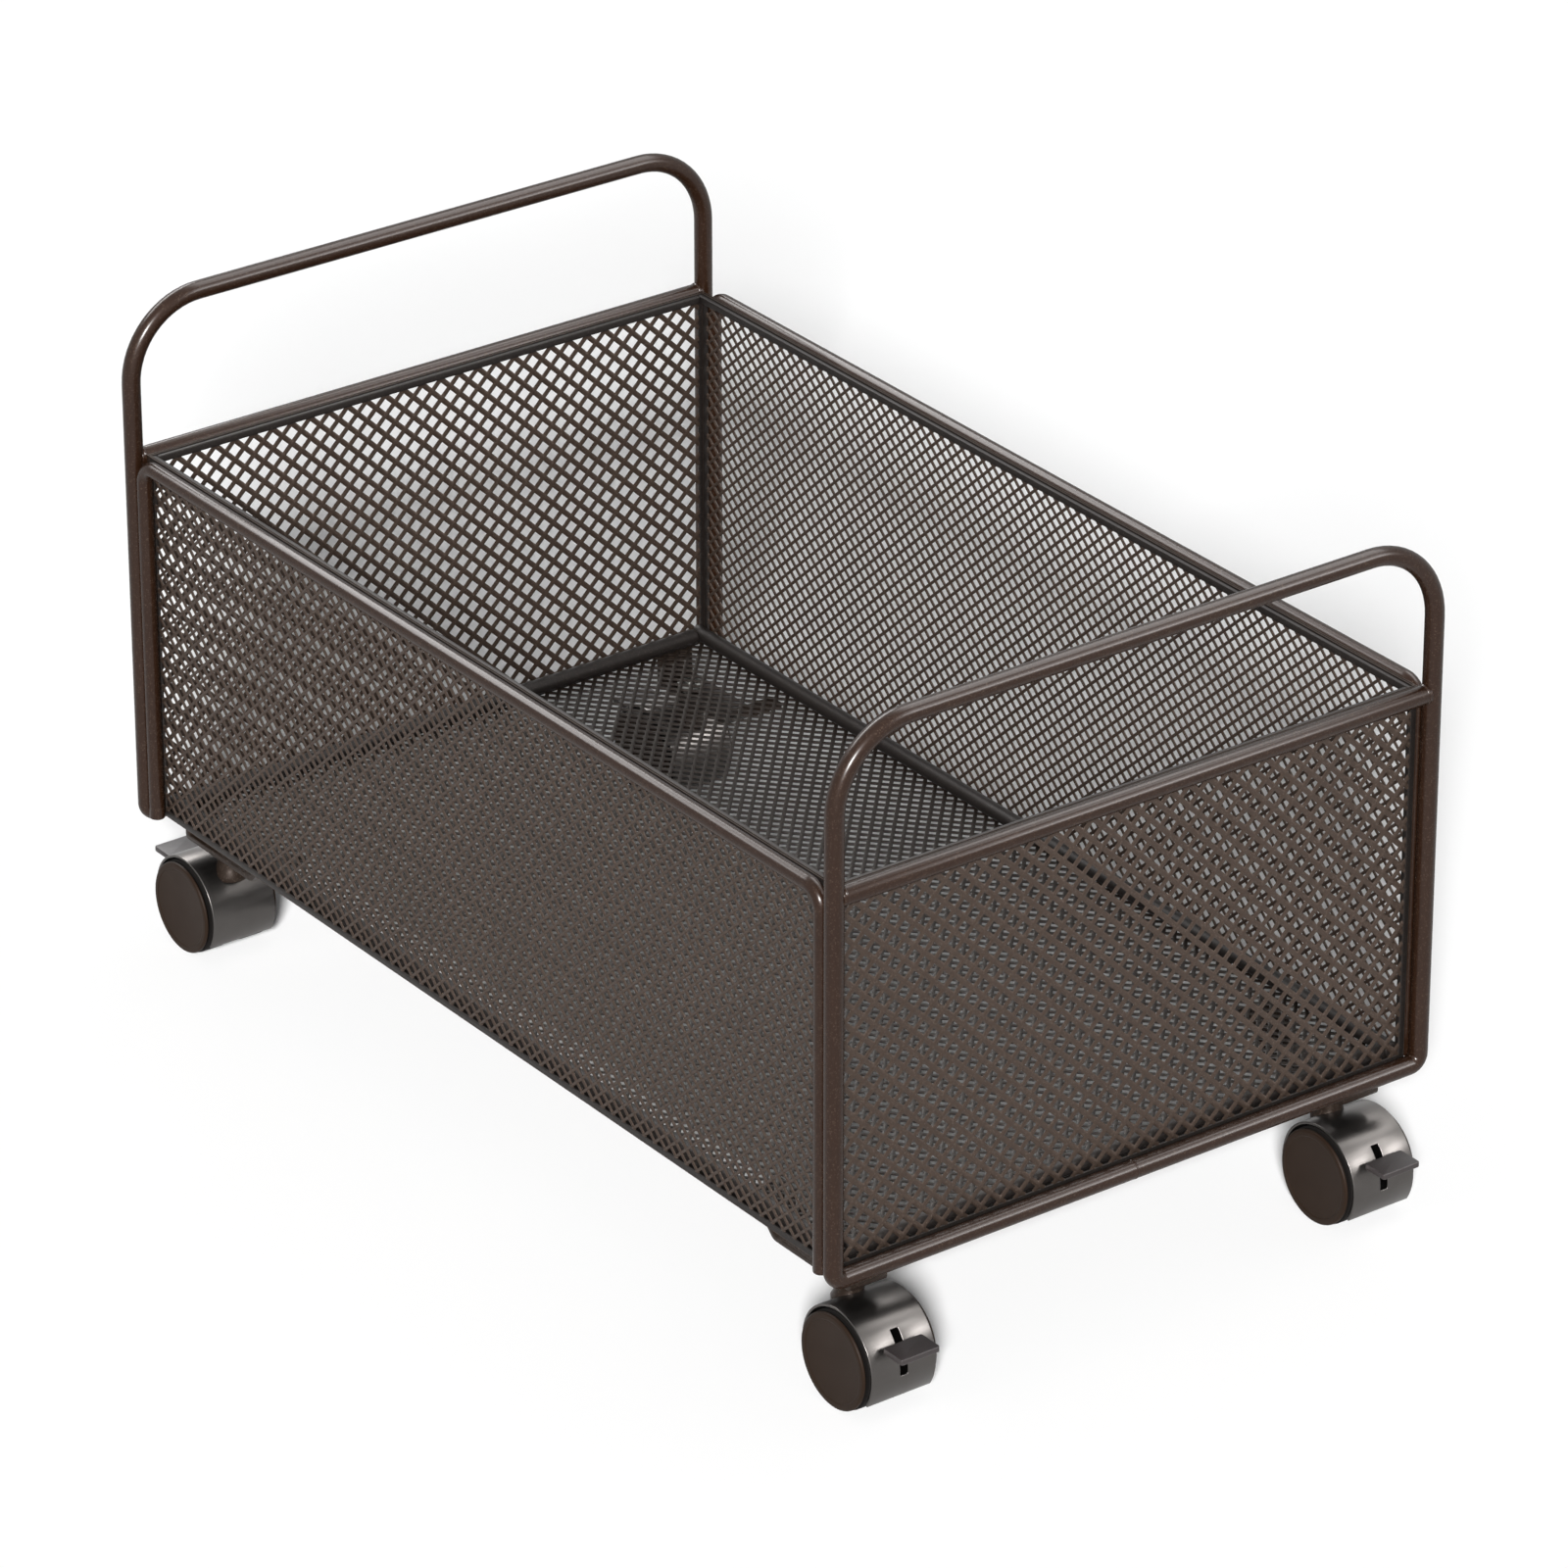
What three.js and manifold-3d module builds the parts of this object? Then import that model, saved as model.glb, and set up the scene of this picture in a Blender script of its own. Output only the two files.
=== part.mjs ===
// A rolling file cart: an open basket of diamond mesh in a frame of bent steel rod, with a handle
// loop at each end, standing on four hooded twin-wheel swivel casters with brake tabs.
// Millimetres, +Z up, the floor at z = 0, +X towards the front end, +Y towards the left side.

import * as THREE from "three";
import { mergeVertices } from "three/addons/utils/BufferGeometryUtils.js";
import Module from "manifold-3d";

// Rod frame. Bend radii are on the rod's centre line.
const frameLength = 400; // between the rod centres of the two end frames
const frameWidth = 240; // between the rod centres of an end frame's two posts
const basketDepth = 136; // from the bottom rail's centre up to the rim's centre
const handleRise = 55.5; // from the rim's centre up to the handle's centre
const endRodDiameter = 6.5;
const sideRodDiameter = 5.5;
const handleBendRadius = 28;
const footBendRadius = 4;
const sideBendRadius = 7;
const buttGap = 0.3; // the end frame's rod ends meet under the middle of its bottom rail
const legLift = 0.7; // the side frames' legs stop this far above the bottom rails' centres

// Mesh basket
const meshThickness = 1;
const meshBorder = 4; // solid edge of each panel
const meshPitch = 38; // nominal width and height of one diamond, strand centre to strand centre
const meshStrand = 8; // leaves half of the net open, as in a fine mesh
const rimStripThickness = 1.5;
const rimStripHeight = 4;
const meshBelowRim = 1; // the panels' top edges lie this far under the rim strips' top edges
const floorRailDiameter = 5.5;
const floorLift = 0.55; // underside of the floor panel above the bottom rails' centres

// Corner plates and swivel stems. A plate runs along X under the floor panel. Its outer end is bent up
// square and its inner end at 45 degrees, and both reach the floor panel.
const plateWidth = 14.6;
const plateThickness = 2;
const plateShift = 2.3; // the plates' middles lie this far nearer the cart's side than the stems
const plateOuter = 13.5; // from the stem to the outer end's face
const plateInner = 28; // from the stem to the bend of the inner end
const plateInnerFlange = 6;
const plateHeight = 11.2;
const stemInsetX = 19.5; // from the end frame's rod centre
const stemInsetY = 21; // from the post's rod centre
const stemDiameter = 4.4;
const stemDepth = 11; // how far the stem reaches down into the hood's neck
const shoulderDiameter = 8.4;
const shoulderThickness = 1.2;
const nutAcrossFlats = 8;
const nutThickness = 3.2;
const stemProud = 0.3; // stem end above the nut

// Casters
const wheelRadius = 17; // to the tread's flats, so it is also the axle's height
const treadWidth = 8.2;
const grooveWidth = 1.5;
const grooveDepth = 1.6;
const lipWidth = 1;
const lipInset = 0.4; // the visible disc is this much smaller in radius than the tread
const lipChamfer = 0.4;
const axleDiameter = 4;
const axleCover = 2.5; // wheel face left closed over the axle's end
const trail = 10.5; // from the swivel axis out to the axle
const hoodWall = 1;
const hoodOverhang = 0.4; // hood edge beyond the wheel's tread
const hoodLipHeight = 7; // hood's lower edges above the floor
const neckWall = 2;
const neckHeight = 4.2; // from the hood's crown to the neck's top
const webWall = 1.1; // web beside the stem's bore

// Brake lever. Its pivot and tab are measured from the axle.
const pivotForward = 7.5;
const pivotUp = 2;
const pivotBossRadius = 2.5;
const pivotPinDiameter = 2.2;
const bladeThickness = 2.4;
const bladeHeight = 3;
const tabUp = 10;
const tabWidth = 15.5;
const tabLength = 10;
const tabThickness = 2;
const tabStandOff = 0.8; // between the hood and the tab's inner edge
const slotAboveTab = 3.4;

// Clearances
const weldGap = 0.3; // between pieces that are welded, bolted or laid against each other
const runningGap = 0.5; // beside and around pieces that turn
const boreGap = 0.3; // around pins, stems and axles, on the radius

// Facets
const rodSides = 12;
const bendSteps = 5;
const wheelFacets = 20;
const hoodFacets = 32;
const pinFacets = 12;

// Values that follow from the sizes above
const endRodRadius = endRodDiameter / 2;
const sideRodRadius = sideRodDiameter / 2;
const treadCornerRadius = wheelRadius / Math.cos(Math.PI / wheelFacets);
const hoodInnerRadius = treadCornerRadius + runningGap;
const hoodOuterRadius = hoodInnerRadius + hoodWall;
const stemBoreRadius = stemDiameter / 2 + boreGap;
const axleBoreRadius = axleDiameter / 2 + boreGap;
const pivotBoreRadius = pivotPinDiameter / 2 + boreGap;
const webHalf = stemBoreRadius + webWall;
const wheelInnerY = webHalf + runningGap;
const hoodHalfWidth = wheelInnerY + treadWidth + hoodOverhang;
const wheelOuterY = wheelInnerY + treadWidth + grooveWidth + lipWidth;

const crownZ = wheelRadius + hoodOuterRadius;
const neckTopZ = crownZ + neckHeight;
const shoulderZ = neckTopZ + runningGap;
const plateZ = shoulderZ + shoulderThickness + weldGap;
const plateTopZ = plateZ + plateThickness;
const nutZ = plateTopZ + weldGap;
const stemTopZ = nutZ + nutThickness + stemProud;
const floorZ = plateZ + plateHeight + weldGap;
const railZ = floorZ - floorLift;
const floorTopZ = floorZ + meshThickness;
const rimZ = railZ + basketDepth;
const handleZ = rimZ + handleRise;
const rimStripTopZ = rimZ + sideRodRadius;
const meshTopZ = rimStripTopZ - meshBelowRim;

const endX = frameLength / 2;
const postY = frameWidth / 2;
const legX = endX - endRodRadius - weldGap - sideRodRadius;
const endMeshX = endX - endRodRadius - weldGap - meshThickness; // inner face of an end panel
const sideMeshY = postY - sideRodRadius - weldGap - meshThickness; // inner face of a side panel
const innerX = endMeshX - weldGap; // what lies inside the end panels stops here
const innerY = sideMeshY - weldGap;
const stemX = endX - stemInsetX;
const stemY = postY - stemInsetY;

const rodPaint = new THREE.MeshStandardMaterial({ color: 0x5a4f49, roughness: 0.38, metalness: 0.6 });
const meshPaint = new THREE.MeshStandardMaterial({ color: 0x4a403b, roughness: 0.5, metalness: 0.5 });
const barPaint = new THREE.MeshStandardMaterial({ color: 0x2c2725, roughness: 0.5, metalness: 0.4 });
const platePaint = new THREE.MeshStandardMaterial({ color: 0x4d423c, roughness: 0.5, metalness: 0.5 });
const zincSteel = new THREE.MeshStandardMaterial({ color: 0x8d8c8a, roughness: 0.4, metalness: 0.9 });
const hoodMetal = new THREE.MeshStandardMaterial({ color: 0x8a8886, roughness: 0.28, metalness: 0.9 });
const wheelPlastic = new THREE.MeshStandardMaterial({ color: 0x3c302b, roughness: 0.55, metalness: 0 });
const leverPlastic = new THREE.MeshStandardMaterial({ color: 0x46413f, roughness: 0.5, metalness: 0 });

const wasm = await Module();
wasm.setup();

// A closed geometry as a solid that can be joined and cut.
function solidFrom(geometry) {
  const bare = geometry.clone();
  bare.deleteAttribute("normal");
  bare.deleteAttribute("uv");
  const merged = mergeVertices(bare, 1e-4);
  return new wasm.Manifold(
    new wasm.Mesh({
      numProp: 3,
      vertProperties: new Float32Array(merged.attributes.position.array),
      triVerts: new Uint32Array(merged.index.array),
    }),
  );
}

function geometryFrom(solid) {
  const mesh = solid.getMesh();
  return new THREE.BufferGeometry()
    .setAttribute("position", new THREE.BufferAttribute(mesh.vertProperties, 3))
    .setIndex(new THREE.BufferAttribute(mesh.triVerts, 1));
}

function joined(...geometries) {
  const solids = geometries.map(solidFrom);
  return geometryFrom(solids.reduce((whole, next) => whole.add(next)));
}

function cut(geometry, ...cutters) {
  const whole = solidFrom(geometry);
  return geometryFrom(cutters.map(solidFrom).reduce((rest, cutter) => rest.subtract(cutter), whole));
}

// A cylinder along Y, as an axle, a wheel or a hood lies.
function cylinderAlongY(radius, length, facets) {
  return new THREE.CylinderGeometry(radius, radius, length, facets);
}

function cylinderAlongZ(radius, length, facets) {
  return cylinderAlongY(radius, length, facets).rotateX(Math.PI / 2);
}

function cylinderAlongX(radius, length, facets) {
  return cylinderAlongY(radius, length, facets).rotateZ(Math.PI / 2);
}

// The centre line of a bent rod: straight runs between round bends, with stations only at the ends of
// the runs and along the bends, so that a long straight run is a single step.
class RodPath extends THREE.Curve {
  constructor(corners, bendRadii) {
    super();
    this.stations = [];
    corners.forEach((corner, i) => {
      const into = corner.clone().sub(corners[Math.max(i - 1, 0)]).normalize();
      const out = corners[Math.min(i + 1, corners.length - 1)].clone().sub(corner).normalize();
      if (i === 0 || i === corners.length - 1) {
        this.stations.push({ point: corner, tangent: i === 0 ? out : into });
        return;
      }
      const turn = into.angleTo(out);
      const radius = bendRadii[i - 1];
      const inward = out.clone().addScaledVector(into, -Math.cos(turn)).normalize();
      const start = corner.clone().addScaledVector(into, -radius * Math.tan(turn / 2));
      for (let step = 0; step <= bendSteps; step++) {
        const angle = (turn * step) / bendSteps;
        const point = start.clone().addScaledVector(into, radius * Math.sin(angle));
        point.addScaledVector(inward, radius * (1 - Math.cos(angle)));
        const tangent = into.clone().multiplyScalar(Math.cos(angle));
        tangent.addScaledVector(inward, Math.sin(angle));
        this.stations.push({ point, tangent });
      }
    });
  }

  stationAt(t) {
    return this.stations[Math.round(t * (this.stations.length - 1))];
  }

  getPoint(t, target = new THREE.Vector3()) {
    return target.copy(this.stationAt(t).point);
  }

  getTangent(t, target = new THREE.Vector3()) {
    return target.copy(this.stationAt(t).tangent);
  }

  getUtoTmapping(u) {
    return u;
  }
}

function bentRod(diameter, corners, bendRadii) {
  const section = [];
  for (let side = 0; side < rodSides; side++) {
    const angle = (2 * Math.PI * side) / rodSides;
    section.push(new THREE.Vector2(Math.cos(angle), Math.sin(angle)).multiplyScalar(diameter / 2));
  }
  const extrudePath = new RodPath(corners, bendRadii);
  const steps = extrudePath.stations.length - 1;
  return new THREE.ExtrudeGeometry(new THREE.Shape(section), { steps, extrudePath });
}

// A flat panel of diamond mesh with a solid edge, upright in XY and centred on the origin. Diamonds
// stand at the centres and the corners of the cells, and the edge cuts the outer ones off.
function meshPanel(width, height) {
  const netWidth = width - 2 * meshBorder;
  const netHeight = height - 2 * meshBorder;
  const columns = Math.max(1, Math.round(netWidth / meshPitch));
  const rows = Math.max(1, Math.round(netHeight / meshPitch));
  const halfCellX = netWidth / columns / 2;
  const halfCellY = netHeight / rows / 2;
  const strandShare = ((meshStrand / 2) * Math.hypot(halfCellX, halfCellY)) / (halfCellX * halfCellY);
  const reachX = halfCellX * (1 - strandShare);
  const reachY = halfCellY * (1 - strandShare);

  const gaps = [];
  for (let i = 0; i <= 2 * columns; i++) {
    for (let j = i % 2; j <= 2 * rows; j += 2) {
      const x = (i - columns) * halfCellX;
      const y = (j - rows) * halfCellY;
      const points = [];
      if (i < 2 * columns) points.push(new THREE.Vector2(x + reachX, y));
      if (j < 2 * rows) points.push(new THREE.Vector2(x, y + reachY));
      if (i > 0) points.push(new THREE.Vector2(x - reachX, y));
      if (j > 0) points.push(new THREE.Vector2(x, y - reachY));
      if (points.length < 3) points.push(new THREE.Vector2(x, y));
      const gap = new THREE.ExtrudeGeometry(new THREE.Shape(points), {
        depth: 2 * meshThickness,
        bevelEnabled: false,
      });
      gaps.push(gap.translate(0, 0, -meshThickness));
    }
  }
  return cut(new THREE.BoxGeometry(width, height, meshThickness), ...gaps);
}

const cart = new THREE.Group();

function add(name, geometry, material, parent = cart) {
  const mesh = new THREE.Mesh(geometry, material);
  mesh.name = name;
  parent.add(mesh);
  return mesh;
}

// End frames: one rod each, bent into a closed loop that is bottom rail, posts and handle in one, with
// a straight crossbar between the posts at the height of the rim.
const crossbarLength = 2 * (postY - endRodRadius - weldGap);
for (const [end, side] of [["front", 1], ["rear", -1]]) {
  const loop = [
    new THREE.Vector3(0, buttGap / 2, railZ),
    new THREE.Vector3(0, postY, railZ),
    new THREE.Vector3(0, postY, handleZ),
    new THREE.Vector3(0, -postY, handleZ),
    new THREE.Vector3(0, -postY, railZ),
    new THREE.Vector3(0, -buttGap / 2, railZ),
  ];
  const bends = [footBendRadius, handleBendRadius, handleBendRadius, footBendRadius];
  add(`end_frame_${end}`, bentRod(endRodDiameter, loop, bends), rodPaint).position.x = side * endX;
  const crossbar = cylinderAlongY(endRodRadius, crossbarLength, rodSides);
  add(`end_crossbar_${end}`, crossbar, rodPaint).position.set(side * endX, 0, rimZ);
}

// Side frames: a thinner rod bent into an upside-down U, whose legs stand beside the end frames' posts.
for (const [name, side] of [["left", 1], ["right", -1]]) {
  const bow = [
    new THREE.Vector3(-legX, 0, railZ + legLift),
    new THREE.Vector3(-legX, 0, rimZ),
    new THREE.Vector3(legX, 0, rimZ),
    new THREE.Vector3(legX, 0, railZ + legLift),
  ];
  const rod = bentRod(sideRodDiameter, bow, [sideBendRadius, sideBendRadius]);
  add(`side_frame_${name}`, rod, rodPaint).position.y = side * postY;
}

// Mesh panels: the floor lies inside the four walls, and the walls stand inside the rods.
const wallHeight = meshTopZ - floorZ;
const wallMiddleZ = floorZ + wallHeight / 2;
add("mesh_floor", meshPanel(2 * innerX, 2 * innerY), meshPaint).position.z = floorZ + meshThickness / 2;
for (const [name, side] of [["left", 1], ["right", -1]]) {
  const panel = meshPanel(2 * innerX, wallHeight).rotateX(Math.PI / 2);
  const wall = add(`mesh_side_${name}`, panel, meshPaint);
  wall.position.set(0, side * (sideMeshY + meshThickness / 2), wallMiddleZ);
}
for (const [name, side] of [["front", 1], ["rear", -1]]) {
  const panel = meshPanel(2 * (sideMeshY + meshThickness), wallHeight);
  panel.rotateX(Math.PI / 2).rotateZ(Math.PI / 2);
  const wall = add(`mesh_end_${name}`, panel, meshPaint);
  wall.position.set(side * (endMeshX + meshThickness / 2), 0, wallMiddleZ);
}

// Rim strips: flat bars along the inside of the panels' top edges.
const rimStripZ = rimStripTopZ - rimStripHeight / 2;
const sideStripY = innerY - rimStripThickness / 2;
const endStripX = innerX - rimStripThickness / 2;
const endStripLength = 2 * (innerY - rimStripThickness - weldGap);
for (const [name, side] of [["left", 1], ["right", -1]]) {
  const strip = new THREE.BoxGeometry(2 * innerX, rimStripThickness, rimStripHeight);
  add(`rim_strip_${name}`, strip, barPaint).position.set(0, side * sideStripY, rimStripZ);
}
for (const [name, side] of [["front", 1], ["rear", -1]]) {
  const strip = new THREE.BoxGeometry(rimStripThickness, endStripLength, rimStripHeight);
  add(`rim_strip_${name}`, strip, barPaint).position.set(side * endStripX, 0, rimStripZ);
}

// Floor rails: four rods that lie on the floor panel along the foot of the walls.
const floorRailRadius = floorRailDiameter / 2;
const floorRailZ = floorTopZ + weldGap + floorRailRadius;
const crossRailLength = 2 * (innerY - floorRailDiameter - weldGap);
for (const [name, side] of [["left", 1], ["right", -1]]) {
  const rail = cylinderAlongX(floorRailRadius, 2 * innerX, rodSides);
  add(`floor_rail_${name}`, rail, barPaint).position.set(0, side * (innerY - floorRailRadius), floorRailZ);
}
for (const [name, side] of [["front", 1], ["rear", -1]]) {
  const rail = cylinderAlongY(floorRailRadius, crossRailLength, rodSides);
  add(`floor_rail_${name}`, rail, barPaint).position.set(side * (innerX - floorRailRadius), 0, floorRailZ);
}

// A corner plate with the hole for a caster's stem, around the swivel axis and with the underside of its
// middle at zero. The cart's side lies towards +Y where sideways is 1, towards -Y where it is -1.
function cornerPlate(sideways) {
  const rise = plateHeight - plateThickness;
  const bendShift = plateThickness * Math.tan(Math.PI / 8); // keeps the slope as thick as the flats
  const innerBend = plateInner + rise;
  const outline = [
    [-innerBend - plateInnerFlange, rise],
    [-innerBend, rise],
    [-plateInner, 0],
    [plateOuter, 0],
    [plateOuter, plateHeight],
    [plateOuter - plateThickness, plateHeight],
    [plateOuter - plateThickness, plateThickness],
    [bendShift - plateInner, plateThickness],
    [bendShift - innerBend, plateHeight],
    [-innerBend - plateInnerFlange, plateHeight],
  ];
  const shape = new THREE.Shape(outline.map(([x, z]) => new THREE.Vector2(x, z)));
  const strip = new THREE.ExtrudeGeometry(shape, { depth: plateWidth, bevelEnabled: false });
  strip.rotateX(Math.PI / 2).translate(0, plateWidth / 2 + sideways * plateShift, 0);
  return cut(strip, cylinderAlongZ(stemBoreRadius, 4 * plateThickness, pinFacets));
}

// A swivel stem with its shoulder, standing on the swivel axis.
function swivelStem() {
  const radius = stemDiameter / 2;
  const shoulder = shoulderDiameter / 2;
  const profile = [
    new THREE.Vector2(0, neckTopZ - stemDepth),
    new THREE.Vector2(radius, neckTopZ - stemDepth),
    new THREE.Vector2(radius, shoulderZ),
    new THREE.Vector2(shoulder, shoulderZ),
    new THREE.Vector2(shoulder, shoulderZ + shoulderThickness),
    new THREE.Vector2(radius, shoulderZ + shoulderThickness),
    new THREE.Vector2(radius, stemTopZ),
    new THREE.Vector2(0, stemTopZ),
  ];
  return new THREE.LatheGeometry(profile, pinFacets).rotateX(Math.PI / 2);
}

function hexNut() {
  const cornerRadius = nutAcrossFlats / Math.sqrt(3);
  const blank = cylinderAlongZ(cornerRadius, nutThickness, 6);
  return cut(blank, cylinderAlongZ(stemBoreRadius, 2 * nutThickness, pinFacets));
}

// One wheel, outward along +Y from the caster's middle: tread, dark groove, and a disc with a lip. A
// flat of the tread faces down, so that the wheel stands on the floor.
function casterWheel() {
  const treadEnd = wheelInnerY + treadWidth;
  const grooveEnd = treadEnd + grooveWidth;
  const lipRadius = treadCornerRadius - lipInset;
  const boreEnd = wheelOuterY - axleCover;
  const profile = [
    new THREE.Vector2(0, boreEnd),
    new THREE.Vector2(axleBoreRadius, boreEnd),
    new THREE.Vector2(axleBoreRadius, wheelInnerY),
    new THREE.Vector2(treadCornerRadius, wheelInnerY),
    new THREE.Vector2(treadCornerRadius, treadEnd),
    new THREE.Vector2(treadCornerRadius - grooveDepth, treadEnd),
    new THREE.Vector2(treadCornerRadius - grooveDepth, grooveEnd),
    new THREE.Vector2(lipRadius, grooveEnd),
    new THREE.Vector2(lipRadius, wheelOuterY - lipChamfer),
    new THREE.Vector2(lipRadius - lipChamfer, wheelOuterY),
    new THREE.Vector2(0, wheelOuterY),
  ];
  return new THREE.LatheGeometry(profile, wheelFacets, Math.PI / wheelFacets);
}

// The hood, around the axle: a drum open at both sides and at the bottom, with a web between the wheels,
// a neck that turns on the stem, and a slot for the brake lever.
const slotHalf = bladeThickness / 2 + boreGap;
const slotBottom = pivotUp - pivotBossRadius - runningGap;
const slotTop = tabUp + slotAboveTab;
const slotBack = pivotForward - pivotBossRadius - runningGap;
function casterHood() {
  const drum = cylinderAlongY(hoodOuterRadius, 2 * hoodHalfWidth, hoodFacets);
  const neckBottom = wheelRadius + hoodOuterRadius / 2;
  const neckLength = neckTopZ - neckBottom;
  const neck = cylinderAlongZ(stemBoreRadius + neckWall, neckLength, 2 * pinFacets);
  neck.translate(-trail, 0, neckBottom + neckLength / 2 - wheelRadius);

  const cavityDepth = 2 * (hoodHalfWidth - webHalf);
  const leftCavity = cylinderAlongY(hoodInnerRadius, cavityDepth, hoodFacets);
  leftCavity.translate(0, webHalf + cavityDepth / 2, 0);
  const rightCavity = leftCavity.clone().rotateZ(Math.PI);
  const underside = new THREE.BoxGeometry(4 * hoodOuterRadius, 4 * hoodHalfWidth, 2 * hoodOuterRadius);
  underside.translate(0, 0, hoodLipHeight - wheelRadius - hoodOuterRadius);

  const boreLength = stemDepth + runningGap;
  const stemBore = cylinderAlongZ(stemBoreRadius, 2 * boreLength, pinFacets);
  stemBore.translate(-trail, 0, neckTopZ - wheelRadius);
  const axleBore = cylinderAlongY(axleBoreRadius, 4 * hoodHalfWidth, pinFacets);
  const pivotBore = cylinderAlongY(pivotBoreRadius, 4 * hoodHalfWidth, pinFacets);
  pivotBore.translate(pivotForward, 0, pivotUp);
  const slotLength = 2 * hoodOuterRadius;
  const slot = new THREE.BoxGeometry(slotLength, 2 * slotHalf, slotTop - slotBottom);
  slot.translate(slotBack + slotLength / 2, 0, (slotTop + slotBottom) / 2);

  const body = joined(drum, neck);
  return cut(body, leftCavity, rightCavity, underside, stemBore, axleBore, pivotBore, slot);
}

// The brake lever, around its pivot: a boss on the pin, a blade through the hood's slot and a flat tab.
function brakeLever() {
  const tabZ = tabUp - pivotUp;
  const tabInnerX =
    Math.sqrt((hoodOuterRadius + tabStandOff) ** 2 - (tabUp - tabThickness / 2) ** 2) - pivotForward;
  const boss = cylinderAlongY(pivotBossRadius, bladeThickness, 2 * pinFacets);
  const tab = new THREE.BoxGeometry(tabLength, tabWidth, tabThickness);
  tab.translate(tabInnerX + tabLength / 2, 0, tabZ);
  const bladeEndX = tabInnerX + tabThickness;
  const bladeLength = Math.hypot(bladeEndX, tabZ);
  const blade = new THREE.BoxGeometry(bladeLength, bladeThickness, bladeHeight);
  blade.translate(bladeLength / 2, 0, 0).rotateY(-Math.atan2(tabZ, bladeEndX));
  const overTab = new THREE.BoxGeometry(4 * tabLength, 2 * tabWidth, tabLength);
  overTab.translate(tabInnerX, 0, tabZ + tabThickness / 2 + tabLength / 2);
  const pinHole = cylinderAlongY(pivotBoreRadius, 2 * bladeThickness, pinFacets);
  return cut(joined(boss, tab, blade), pinHole, overTab);
}

// One caster with its plate, stem and nut. At rest the front casters trail to the front and the rear
// ones to the rear, with their brake tabs facing outwards.
const axleLength = 2 * (wheelOuterY - axleCover - runningGap);
const pivotPinLength = 2 * (webHalf - boreGap);
function addCaster(id, sideX, sideY) {
  const corner = new THREE.Group();
  corner.position.set(sideX * stemX, sideY * stemY, 0);
  corner.rotation.z = sideX > 0 ? 0 : Math.PI;
  cart.add(corner);
  add(`caster_plate_${id}`, cornerPlate(sideX * sideY), platePaint, corner).position.z = plateZ;
  add(`caster_stem_${id}`, swivelStem(), zincSteel, corner);
  add(`stem_nut_${id}`, hexNut(), zincSteel, corner).position.z = nutZ + nutThickness / 2;

  const running = new THREE.Group();
  running.position.set(trail, 0, wheelRadius);
  corner.add(running);
  add(`caster_hood_${id}`, casterHood(), hoodMetal, running);
  add(`caster_axle_${id}`, cylinderAlongY(axleDiameter / 2, axleLength, pinFacets), zincSteel, running);
  add(`wheel_a_${id}`, casterWheel(), wheelPlastic, running);
  add(`wheel_b_${id}`, casterWheel(), wheelPlastic, running).rotation.z = Math.PI;
  const lever = add(`brake_lever_${id}`, brakeLever(), leverPlastic, running);
  lever.position.set(pivotForward, 0, pivotUp);
  const pin = cylinderAlongY(pivotPinDiameter / 2, pivotPinLength, pinFacets);
  add(`brake_pin_${id}`, pin, zincSteel, running).position.set(pivotForward, 0, pivotUp);
}

addCaster("fl", 1, 1);
addCaster("fr", 1, -1);
addCaster("rl", -1, 1);
addCaster("rr", -1, -1);

export default cart;
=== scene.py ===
# A low rolling file cart: an open basket of expanded steel mesh in a frame of bent steel rod, with a
# handle loop at each end, on four hooded twin-wheel casters with brake tabs.
# Metres, +Z up, the floor at z = 0, +X towards the front end, +Y towards the left side.

import math

import bmesh
import bpy
from mathutils import Matrix, Vector


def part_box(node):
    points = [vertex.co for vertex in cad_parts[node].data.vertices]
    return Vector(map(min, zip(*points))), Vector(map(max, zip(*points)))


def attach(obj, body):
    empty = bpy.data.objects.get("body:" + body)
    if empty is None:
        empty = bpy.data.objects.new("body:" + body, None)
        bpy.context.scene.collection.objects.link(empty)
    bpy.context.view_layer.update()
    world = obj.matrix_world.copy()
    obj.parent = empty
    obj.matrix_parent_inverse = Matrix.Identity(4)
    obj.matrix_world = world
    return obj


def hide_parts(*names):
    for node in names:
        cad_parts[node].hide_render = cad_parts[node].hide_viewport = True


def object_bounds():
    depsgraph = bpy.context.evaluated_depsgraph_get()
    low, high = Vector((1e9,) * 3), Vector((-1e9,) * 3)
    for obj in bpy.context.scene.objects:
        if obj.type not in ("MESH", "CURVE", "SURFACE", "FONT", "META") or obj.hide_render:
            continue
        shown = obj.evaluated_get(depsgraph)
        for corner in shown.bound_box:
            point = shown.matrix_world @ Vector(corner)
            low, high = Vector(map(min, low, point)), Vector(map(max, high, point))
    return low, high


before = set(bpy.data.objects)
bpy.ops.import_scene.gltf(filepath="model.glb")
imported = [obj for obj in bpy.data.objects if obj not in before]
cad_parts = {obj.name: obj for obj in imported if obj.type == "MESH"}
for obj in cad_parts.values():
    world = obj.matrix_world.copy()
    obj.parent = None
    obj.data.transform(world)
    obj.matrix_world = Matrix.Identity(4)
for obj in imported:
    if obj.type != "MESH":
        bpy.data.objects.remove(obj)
cad_low, cad_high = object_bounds()
MM = 0.001

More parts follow.
